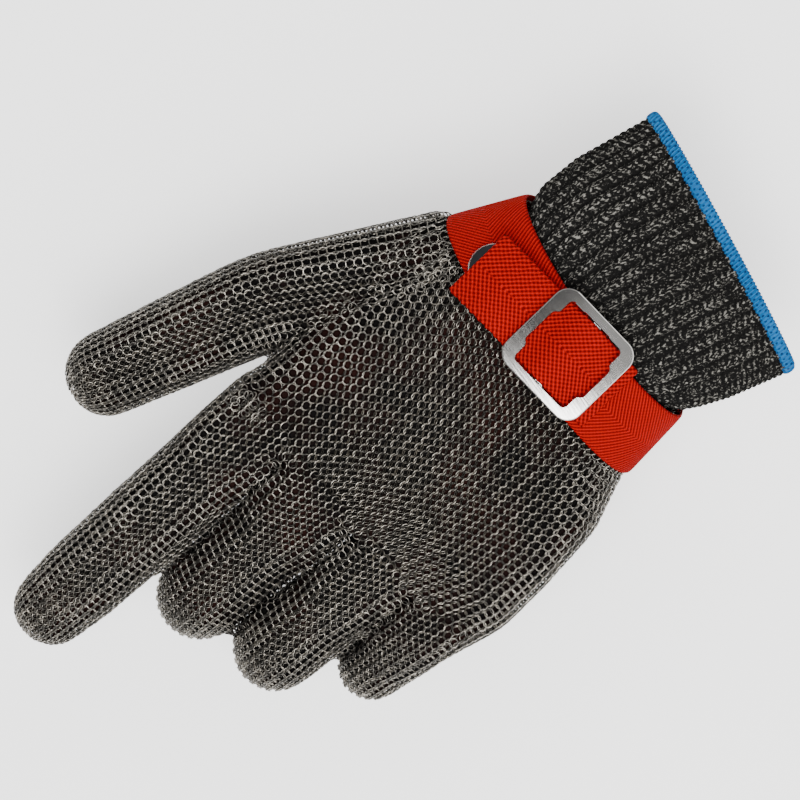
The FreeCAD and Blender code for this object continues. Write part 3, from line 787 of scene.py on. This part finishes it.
# knitted cuff: lengthwise ribs of looped stitches
cuffRings = [
    dict(y=10.0, x=0.4, wide=43.6, deep=21.0, tilt=20.0, yaw=0.0),
    dict(y=-10.5, x=-1.1, wide=39.2, deep=21.8, tilt=20.0, yaw=0.0),
    dict(y=-18.0, x=-1.8, wide=43.2, deep=23.2, tilt=17.0, yaw=-1.0),
    dict(y=-30.0, x=-3.0, wide=45.4, deep=20.8, tilt=9.0, yaw=-2.6),
    dict(y=-52.5, x=-6.2, wide=46.0, deep=14.2, tilt=0.0, yaw=-6.6),
]
cuff = dict(ribs=42, ribHeight=1.45, stitch=2.1, stitchLift=0.5, purl=0.3, valley=1.25, length=62.5, wall=1.8,
            girth=205.0, around=588, along=150, foldTurn=3.05, foldDepth=2.2, foldWidth=0.07)
edging = dict(width=2.1, thick=1.75, wrap=1.25, wrapLift=0.16, out=54.1, wraps=164.0, dashes=102.0)


def cuffPoint(y, turn, inset):
    column = {}
    for key in ("x", "wide", "deep", "tilt", "yaw"):
        column[key] = np.interp(-y, [-r["y"] for r in cuffRings], [r[key] for r in cuffRings])
    fold = cuff["foldDepth"] * np.exp(-((turn - cuff["foldTurn"]) / cuff["foldWidth"]) ** 2)
    inset = inset + fold * np.clip((-y - 14) / 10, 0, 1)
    tilt = np.radians(column["tilt"])
    x = (column["wide"] - inset) * np.cos(turn)
    up = (column["deep"] - inset) * power(np.sin(turn), 0.92)
    forward = x * np.tan(np.radians(column["yaw"]))
    return np.stack([column["x"] + x, y + forward + up * np.sin(tilt), up * np.cos(tilt)], axis=-1)


def evenTurns(point):
    turns = np.linspace(0, 2 * math.pi, 1200)
    line = point(turns)
    walked = np.concatenate([[0], np.cumsum(np.linalg.norm(np.diff(line, axis=0), axis=1))])
    return lambda u: np.interp(u, walked / walked[-1], turns), walked[-1]


def knitCuff(paint):
    toTurn = evenTurns(lambda turns: cuffPoint(np.full_like(turns, -32.0), turns, 0.0))[0]

    def outside(u, v):
        y = cuffRings[0]["y"] - v * cuff["length"]
        rib = (u * cuff["ribs"]) % 1.0 - 0.5
        ridge = np.clip(np.cos(math.pi * rib), 0, 1) ** 1.4
        loop = 0.5 + 0.5 * np.cos(2 * math.pi * (y / cuff["stitch"] + 0.9 * np.abs(rib) * 2))
        back = 0.5 - 0.5 * np.cos(2 * math.pi * y / cuff["stitch"])
        lift = cuff["ribHeight"] * ridge + cuff["stitchLift"] * loop * ridge ** 0.5
        lift = lift + cuff["purl"] * back * (1 - ridge)
        calm = np.clip((-y - 8) / 6, 0.25, 1)
        return cuffPoint(y, toTurn(u), cuff["valley"] - (lift - 0.2) * calm) * mm

    def inside(u, v):
        return cuffPoint(9.5 - v * (cuff["length"] - 0.8), toTurn(1 - u), cuff["wall"] + 0.9) * mm

    shell = gridPiece("cuffKnitOutside", cuff["around"], cuff["along"], outside, closed=True)
    lining = gridPiece("cuffKnitInside", 120, 30, inside, closed=True)
    selectOnly(lining)
    bpy.ops.object.mode_set(mode="EDIT")
    bpy.ops.mesh.select_all(action="SELECT")
    bpy.ops.mesh.flip_normals()
    bpy.ops.object.mode_set(mode="OBJECT")
    for piece in (shell, lining):
        wear(piece, paint)
        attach(piece, "root")
        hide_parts("knit_cuff")


def cuffEdging(paint):
    toTurn, girth = evenTurns(lambda turns: cuffPoint(np.full_like(turns, cuffRings[-1]["y"]), turns, 1.0))

    def band(u, v):
        turn = toTurn(v)
        centre = cuffPoint(np.full_like(turn, -edging["out"]), turn, 1.0)
        ahead = unit(cuffPoint(np.full_like(turn, -edging["out"]), turn + 0.004, 1.0) - centre)
        axial = np.zeros_like(centre)
        axial[:, 1] = -1
        outward = unit(np.cross(ahead, axial))
        angle = u * 2 * math.pi
        wrap = edging["wrapLift"] * np.cos(2 * math.pi * (v * round(girth / edging["wrap"]) + u * 1.0))
        thick = (edging["thick"] + wrap) * power(np.cos(angle), 0.75)
        width = (edging["width"] + wrap) * power(np.sin(angle), 0.75)
        return (centre + outward * thick[:, None] + axial * width[:, None]) * mm

    piece = gridPiece("cuffEdgingBand", 24, 1400, band, closed=True)
    wear(piece, paint)
    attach(piece, "root")
    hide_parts("cuff_edging")


knitCuff(cuffKnit())
cuffEdging(blueYarn())
print("cuff: done")

# wrist strap: one band round the wrist and the end that runs through the buckle
strap = dict(width=25.0, thick=1.4, tilt=20.0, lowX=-1.2, lowWide=43.3, highX=0.7, highWide=50.4, deep=26.6,
             around=560, section=72, bandLength=238.0, plyStart=-20.0, plyLength=40.0, flapLength=20.0)
buckleSpot = dict(x=-6.6, y=8.0, z=25.0, yaw=9.0, roll=-4.0)
plyHeights = [  # along the webbing from the buckle's bar, and up from the buckle's plane
    (-20.0, -2.3), (-16.0, -0.3), (-13.0, 0.9), (-9.5, 1.4), (-6.0, 3.3), (-3.0, 4.75), (0.0, 4.95),
    (3.0, 4.75), (6.0, 3.3), (9.5, 1.4), (13.0, 1.1), (16.0, 1.1), (20.0, 1.0), (25.0, 0.25),
    (30.5, -0.95), (35.5, -2.75), (40.8, -5.0), (44.0, -6.6)]


def sectionLoop(u):  # once round the webbing: the top is the first half
    across = np.where(u < 0.5, u * 4 - 1, 3 - u * 4)
    side = np.where(u < 0.5, 1.0, -1.0)
    rise = side * np.sqrt(np.clip(1 - np.abs(across) ** 14, 0, 1)) * strap["thick"] / 2
    return across, rise, side


def twill(along, across, side, pitch, ridge, beading=0.25):
    fold = np.abs(across) * strap["width"] / 2
    lines = 0.5 + 0.5 * np.cos(2 * math.pi * (along + fold * weave["slant"]) / pitch)
    beadTurn = 2 * math.pi / (pitch * weave["beadPitch"])
    beads = 0.5 + 0.5 * np.cos((along - fold * weave["beadSlant"]) * beadTurn)
    return (lines * (1 - beading) + beads * beading - 0.5) * ridge * (np.abs(across) < 0.97) * (side > 0)


def bandPoint(across, turn, inset):
    share = (across + 1) / 2
    x = strap["lowX"] + (strap["highX"] - strap["lowX"]) * share
    wide = strap["lowWide"] + (strap["highWide"] - strap["lowWide"]) * share - inset
    up = (strap["deep"] - inset) * np.sin(turn)
    tilt = math.radians(strap["tilt"])
    y = (share - 0.5) * strap["width"]
    return np.stack([x + wide * np.cos(turn), y + up * math.sin(tilt), up * math.cos(tilt)], axis=-1)


def strapBand(paint, length):
    toTurn = evenTurns(lambda turns: bandPoint(np.zeros_like(turns), turns, 0.0))[0]

    def place(u, v):
        across, rise, side = sectionLoop(u)
        relief = twill(v * length, across, side, weave["pitch"], weave["ridge"], 0.06)
        return bandPoint(across, toTurn(v), strap["thick"] / 2 - rise - relief) * mm

    piece = gridPiece("strapBandWebbing", strap["section"], strap["around"], place, closed=True)
    wear(piece, paint)
    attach(piece, "root")
    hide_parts("strap_band")


def ribbonPoint(x, y, z):
    turn = np.array(Matrix.Rotation(math.radians(buckleSpot["yaw"]), 3, "Z")
                    @ Matrix.Rotation(math.radians(buckleSpot["roll"]), 3, "Y"))
    return np.stack([x, y, z], axis=-1) @ turn.T + np.array([buckleSpot[key] for key in "xyz"])


def plyHeight(x):
    return np.mean([np.interp(x + step, *zip(*plyHeights)) for step in np.linspace(-1.5, 1.5, 7)], axis=0)


def strapRibbon(name, paint, start, length, rows, slack, pitch, offset, freeEnd):
    def place(u, v):
        across, rise, side = sectionLoop(u)
        x = start + v * length
        rise = rise * np.sqrt(np.clip(1 - np.clip(freeEnd * (v * 2 - 1), 0, 1) ** 60, 0, 1))
        relief = twill(v * length + offset, across, side, pitch, weave["ridge"] * 1.5)
        slope = (plyHeight(x + 0.2) - plyHeight(x - 0.2)) / 0.4
        lean = rise + relief
        edge = slack * np.sin(x * 1.7) * 0.12
        y = across * (strap["width"] / 2 + edge)
        z = plyHeight(x) + lean / np.sqrt(1 + slope ** 2)
        return ribbonPoint(x - slope * lean / np.sqrt(1 + slope ** 2), y, z) * mm

    piece = gridPiece(name, strap["section"], rows, place, closed=True)
    wear(piece, paint)
    return piece


strapBand(redWebbing(strap["bandLength"], weave["pitch"], 0.05), strap["bandLength"])
plyPaint = redWebbing(strap["plyLength"], weave["coarse"], 0.2)
ply = strapRibbon("strapUpperWebbing", plyPaint, strap["plyStart"], strap["plyLength"], 110, 0.6,
                  weave["coarse"], 0.0, -1)
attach(ply, "root")
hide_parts("strap_upper_ply")
flapPaint = redWebbing(strap["flapLength"], weave["coarse"], 0.2, strap["plyLength"])
flapStart = strap["plyStart"] + strap["plyLength"]
flap = strapRibbon("strapFlapWebbing", flapPaint, flapStart, strap["flapLength"], 60, 1.2,
                   weave["coarse"], strap["plyLength"], 1)
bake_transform(flap)
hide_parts("strap_flap")
print("strap: done")

# buckle and press stud keep their machined shapes
brushed = buckleSteel()
paintedReflectionSteel = snapSteel()
useOn("slider_buckle", brushed)
useOn("snap_disc", paintedReflectionSteel)
useOn("snap_socket", paintedReflectionSteel)

# floor, lights and camera
studio = dict(floorTone=(0.92, 0.92, 0.915), glow=0.9, floorDrop=1.0, sensor=36.0, span=0.256, lookX=11.5,
              lookY=58.8, far=1.0, yaw=35.0249, cardAt=(0.115, -0.02, 1.3), cardWide=0.62, sky=0.55)
lamps = [
    dict(name="keyLight", place=(-0.2, 0.32, 1.1), size=0.6, watts=19.0),
    dict(name="fillLight", place=(0.7, -0.95, 0.85), size=0.9, watts=9.0),
    dict(name="topLight", place=(-0.8, 0.1, 1.1), size=0.9, watts=12.0),
]


def floorAndLights():
    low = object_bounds()[0][2]
    startClean()
    bpy.ops.mesh.primitive_plane_add(size=4.0, location=(0, 0, low - studio["floorDrop"] * mm))
    floor = bpy.context.object
    floor.name = "studioFloor"
    paper = Paint("studioPaper", studio["floorTone"], 0.9, Emission_Color=(1.0, 1.0, 1.0),
                  Emission_Strength=studio["glow"])
    wear(floor, paper)
    bpy.ops.mesh.primitive_plane_add(size=1.0, location=studio["cardAt"], rotation=(0, 0, math.radians(10.0)))
    card = bpy.context.object
    card.name = "darkCard"
    card.scale = (studio["cardWide"], 0.9, 1.0)
    bpy.ops.object.transform_apply(location=False, rotation=False, scale=True)
    wear(card, Paint("cardBlack", (0.012, 0.012, 0.012), 0.9))
    for values in lamps:
        bpy.ops.object.light_add(type="AREA", location=values["place"])
        lamp = bpy.context.object
        lamp.name = values["name"]
        lamp.data.size = values["size"]
        lamp.data.energy = values["watts"]
        aim = Vector((0.0, 0.06, 0.0)) - Vector(values["place"])
        lamp.rotation_euler = aim.to_track_quat("-Z", "Y").to_euler()
    world = bpy.data.worlds.new("studioWorld")
    bpy.context.scene.world = world
    world.use_nodes = True
    backdrop = world.node_tree.nodes["Background"]
    backdrop.inputs["Color"].default_value = (1.0, 1.0, 1.0, 1.0)
    backdrop.inputs["Strength"].default_value = studio["sky"]


def cameraAbove():
    lens = bpy.data.cameras.new("studioCamera")
    camera = bpy.data.objects.new("studioCamera", lens)
    bpy.context.scene.collection.objects.link(camera)
    lens.sensor_width = studio["sensor"]
    lens.lens = studio["sensor"] * studio["far"] / studio["span"]
    yaw = math.radians(studio["yaw"])
    across = Vector((-math.sin(yaw), -math.cos(yaw), 0.0))
    up = Vector((math.cos(yaw), -math.sin(yaw), 0.0))
    back = across.cross(up)
    turn = Matrix((across, up, back)).transposed().to_4x4()
    spot = (studio["lookX"] * mm, studio["lookY"] * mm, studio["far"])
    camera.matrix_world = Matrix.Translation(spot) @ turn
    bpy.context.scene.camera = camera


floorAndLights()
cameraAbove()
